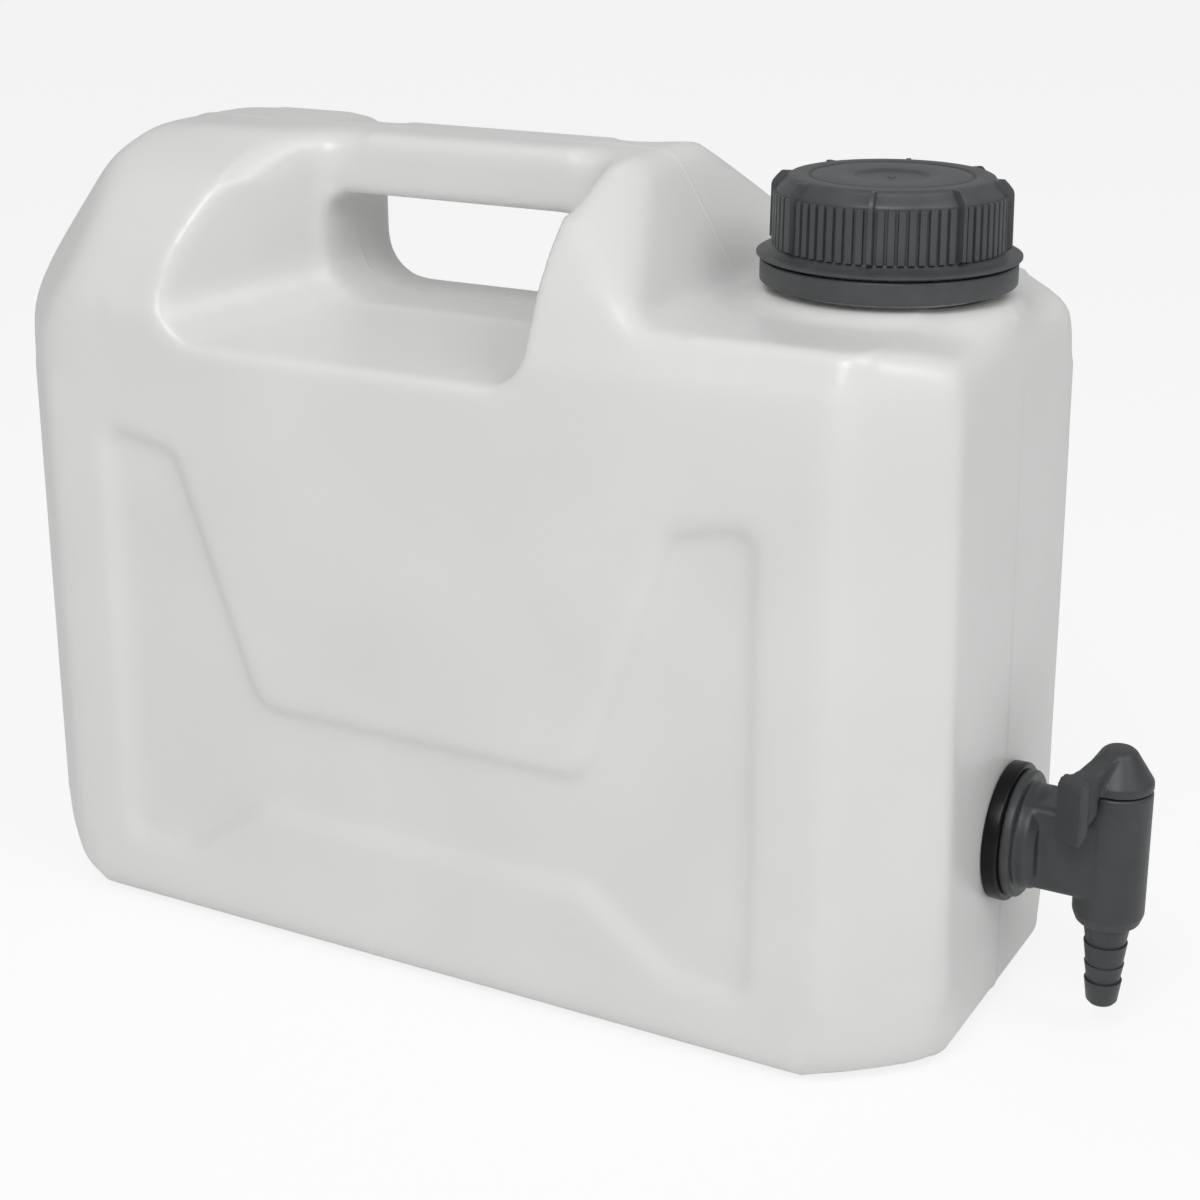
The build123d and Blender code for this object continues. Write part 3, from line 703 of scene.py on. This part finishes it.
def key_with_lever():
    """Plug, conical cap and thumb lever, which is a web with a wider paddle at its end."""
    plug = [(0, PLUG_FOOT), (PLUG_RADIUS - 0.4, PLUG_FOOT), (PLUG_RADIUS, PLUG_FOOT + 0.5),
            (PLUG_RADIUS, KEY_FOOT)]
    head = [(BARREL_RADIUS, KEY_FOOT), (BARREL_RADIUS, KEY_FOOT + 2.0), (4.4, KEY_TOP - 1.0),
            (3.4, KEY_TOP - 0.2), (0, KEY_TOP)]
    cone = spun("cone", plug + head, steps=64, origin=BARREL, axis=UP)
    root = [(0, KEY_TOP - 1.2), (0, KEY_FOOT), (9.4, KEY_FOOT), (9.4, KEY_FOOT - 4.2)]
    end = [(17.0, KEY_FOOT - 10.8), (17.0, KEY_FOOT + 4.0), (16.2, KEY_FOOT + 5.2),
           (14.5, KEY_FOOT + 5.6)]
    back = [(11.0, KEY_FOOT + 6.2), (7.5, KEY_FOOT + 7.6), (4.1, KEY_TOP - 1.2)]
    paddle = end + [(PADDLE_START, KEY_FOOT + 5.6), (PADDLE_START, KEY_FOOT - 8.0)]
    return joined("tap_key_moulded", cone, lever_slab("web", root + end + back, WEB_WIDTH),
                  lever_slab("paddle", paddle, PADDLE_WIDTH))


def lever_slab(name, outline, width):
    """A flat form of the lever's side outline: (distance from the barrel's axis, height)."""
    ahead = Vector((0, -1, 0))
    side = -OUT * (width / 2 * MM)
    piece = traced(name, [BARREL + ahead * (x * MM) + UP * (h * MM) + side for x, h in outline])
    bpy.ops.mesh.remove_doubles(threshold=MERGE)
    bpy.ops.mesh.select_all(action="SELECT")
    bpy.ops.mesh.edge_face_add()
    bpy.ops.mesh.extrude_region_move(TRANSFORM_OT_translate={"value": OUT * (width * MM)})
    bpy.ops.mesh.select_all(action="SELECT")
    bpy.ops.mesh.normals_make_consistent(inside=False)
    bpy.ops.transform.rotate(value=LEVER_TURN, orient_axis="Z", center_override=BARREL)
    activate(piece)
    return piece


def turned_gasket():
    """The gasket between the tap's flange and the can, rounded on both outer edges."""
    thick = (GASKET_HIGH.x - GASKET_LOW.x) / MM
    r, inner = (GASKET_HIGH.z - GASKET_LOW.z) / 2 / MM, 13.3
    edge = 0.7
    profile = ([(inner, thick), (inner, 0)] + arc(r - edge, edge, edge, -90, 0)
               + arc(r - edge, thick - edge, edge, 0, 90))
    return spun("tap_gasket_turned", profile, steps=96, origin=TAP, axis=OUT)


# the camera, as fitted to the can's edges
AZIMUTH, ELEVATION, ROLL = math.radians(28.866), math.radians(17.89), math.radians(-0.161)
CAMERA = Vector((0.2947, -0.5032, 0.2999))
LENS_MM, SENSOR_MM = 67.447, 36.0
SHIFT = (0.0110, -0.0677)
KEY_PLACE, KEY_TARGET, KEY_SIZE = (0.30, -1.05, 1.25), (0, 0, 0.1), 0.75
FILL_PLACE, FILL_TARGET, FILL_SIZE = (1.05, -0.25, 1.15), (0, 0, 0.15), 0.7
FLOOR_SIZE = 6
FLOOR_LIFT = 0.82     # how much of the floor's light, as the camera sees it, is plain white


class JERRYCAN_OT_stage(bpy.types.Operator):
    """Add the floor, the soft studio light and the camera"""
    bl_idname = "jerrycan.stage"
    bl_label = "Stage"

    def execute(self, context):
        settings = context.scene.jerrycan_stage
        add_floor(settings)
        add_world(settings)
        add_softbox("key_softbox", KEY_PLACE, KEY_TARGET, KEY_SIZE, settings.key)
        add_softbox("side_softbox", FILL_PLACE, FILL_TARGET, FILL_SIZE, settings.fill)
        add_camera()
        context.scene.view_settings.view_transform = "Standard"
        return {"FINISHED"}


def camera_only(tree):
    """1 for what the camera sees straight or through glass, 0 for the light on the things."""
    path = add_node(tree, "ShaderNodeLightPath")
    return calculate(tree, "MAXIMUM", path.outputs["Is Camera Ray"],
                     path.outputs["Is Transmission Ray"])


def add_floor(settings):
    """White table, lifted towards paper white for the camera but keeping the can's shadow."""
    activate(None)
    bpy.ops.mesh.primitive_plane_add(size=FLOOR_SIZE)
    floor = bpy.context.object
    floor.name = "floor"
    material = bpy.data.materials.new("white_laminate_table")
    material.use_nodes = True
    tree = material.node_tree
    tree.nodes.clear()
    diffuse = add_node(tree, "ShaderNodeBsdfDiffuse", {"Color": (*settings.floor, 1)})
    glow = add_node(tree, "ShaderNodeEmission", {"Color": (1, 1, 1, 1), "Strength": 1.0})
    share = calculate(tree, "MULTIPLY", camera_only(tree), FLOOR_LIFT)
    mix = add_node(tree, "ShaderNodeMixShader",
                   {0: share, 1: diffuse.outputs[0], 2: glow.outputs[0]})
    add_node(tree, "ShaderNodeOutputMaterial", {"Surface": mix.outputs[0]})
    floor.data.materials.append(material)


def add_world(settings):
    """Plain light from all round, which the camera sees as white."""
    world = bpy.data.worlds.new("studio")
    bpy.context.scene.world = world
    world.use_nodes = True
    tree = world.node_tree
    tree.nodes.clear()
    seen = camera_only(tree)
    level = add_node(tree, "ShaderNodeMapRange",
                     {"Value": seen, "To Min": settings.level, "To Max": 1.0})
    light = add_node(tree, "ShaderNodeBackground",
                     {"Color": (1, 1, 1, 1), "Strength": level.outputs[0]})
    add_node(tree, "ShaderNodeOutputWorld", {"Surface": light.outputs[0]})


def add_softbox(name, place, target, size, power):
    """A square area light at a place, turned to its target."""
    activate(None)
    bpy.ops.object.light_add(type="AREA", location=place)
    lamp = bpy.context.object
    lamp.name = name
    lamp.data.shape = "SQUARE"
    lamp.data.size = size
    lamp.data.energy = power
    lamp.rotation_mode = "QUATERNION"
    lamp.rotation_quaternion = (Vector(target) - Vector(place)).to_track_quat("-Z", "Y")


def add_camera():
    """The camera, turned by its azimuth, elevation and roll, with a shifted lens."""
    activate(None)
    bpy.ops.object.camera_add(location=CAMERA)
    camera = bpy.context.object
    camera.name = "camera"
    back = Vector((math.sin(AZIMUTH) * math.cos(ELEVATION),
                   -math.cos(AZIMUTH) * math.cos(ELEVATION), math.sin(ELEVATION)))
    right = Vector((math.cos(AZIMUTH), math.sin(AZIMUTH), 0))
    level = Matrix((right, back.cross(right), back)).transposed()
    camera.rotation_mode = "QUATERNION"
    camera.rotation_quaternion = (level @ Matrix.Rotation(ROLL, 3, "Z")).to_quaternion()
    camera.data.sensor_width = SENSOR_MM
    camera.data.lens = LENS_MM
    camera.data.shift_x, camera.data.shift_y = SHIFT
    camera.data.clip_start, camera.data.clip_end = 0.01, 20
    bpy.context.scene.camera = camera


class JERRYCAN_PT_panel(bpy.types.Panel):
    """The jerrycan's pieces and their sizes"""
    bl_idname = "JERRYCAN_PT_panel"
    bl_label = "Jerrycan"
    bl_space_type = "VIEW_3D"
    bl_region_type = "UI"
    bl_category = "Jerrycan"

    def draw(self, context):
        for operator, group in STEPS:
            box = self.layout.box()
            box.operator(operator.bl_idname)
            settings = getattr(context.scene, group)
            for name in settings.__annotations__:
                box.prop(settings, name)


GROUPS = {"jerrycan_can": CanSettings, "jerrycan_closure": ClosureSettings,
          "jerrycan_tap": TapSettings, "jerrycan_stage": StageSettings}
STEPS = ((JERRYCAN_OT_can, "jerrycan_can"), (JERRYCAN_OT_closure, "jerrycan_closure"),
         (JERRYCAN_OT_tap, "jerrycan_tap"), (JERRYCAN_OT_stage, "jerrycan_stage"))
CLASSES = (*GROUPS.values(), *(operator for operator, group in STEPS), JERRYCAN_PT_panel)


def register():
    """Registers the classes and hangs the settings on the scene."""
    for cls in CLASSES:
        bpy.utils.register_class(cls)
    for name, group in GROUPS.items():
        setattr(bpy.types.Scene, name, bpy.props.PointerProperty(type=group))


def unregister():
    """Takes away what register added."""
    for name in GROUPS:
        delattr(bpy.types.Scene, name)
    for cls in reversed(CLASSES):
        bpy.utils.unregister_class(cls)


def main():
    """Builds every piece and the stage."""
    register()
    bpy.ops.jerrycan.can()
    bpy.ops.jerrycan.closure()
    bpy.ops.jerrycan.tap()
    bpy.ops.jerrycan.stage()


if __name__ == "__main__":
    main()
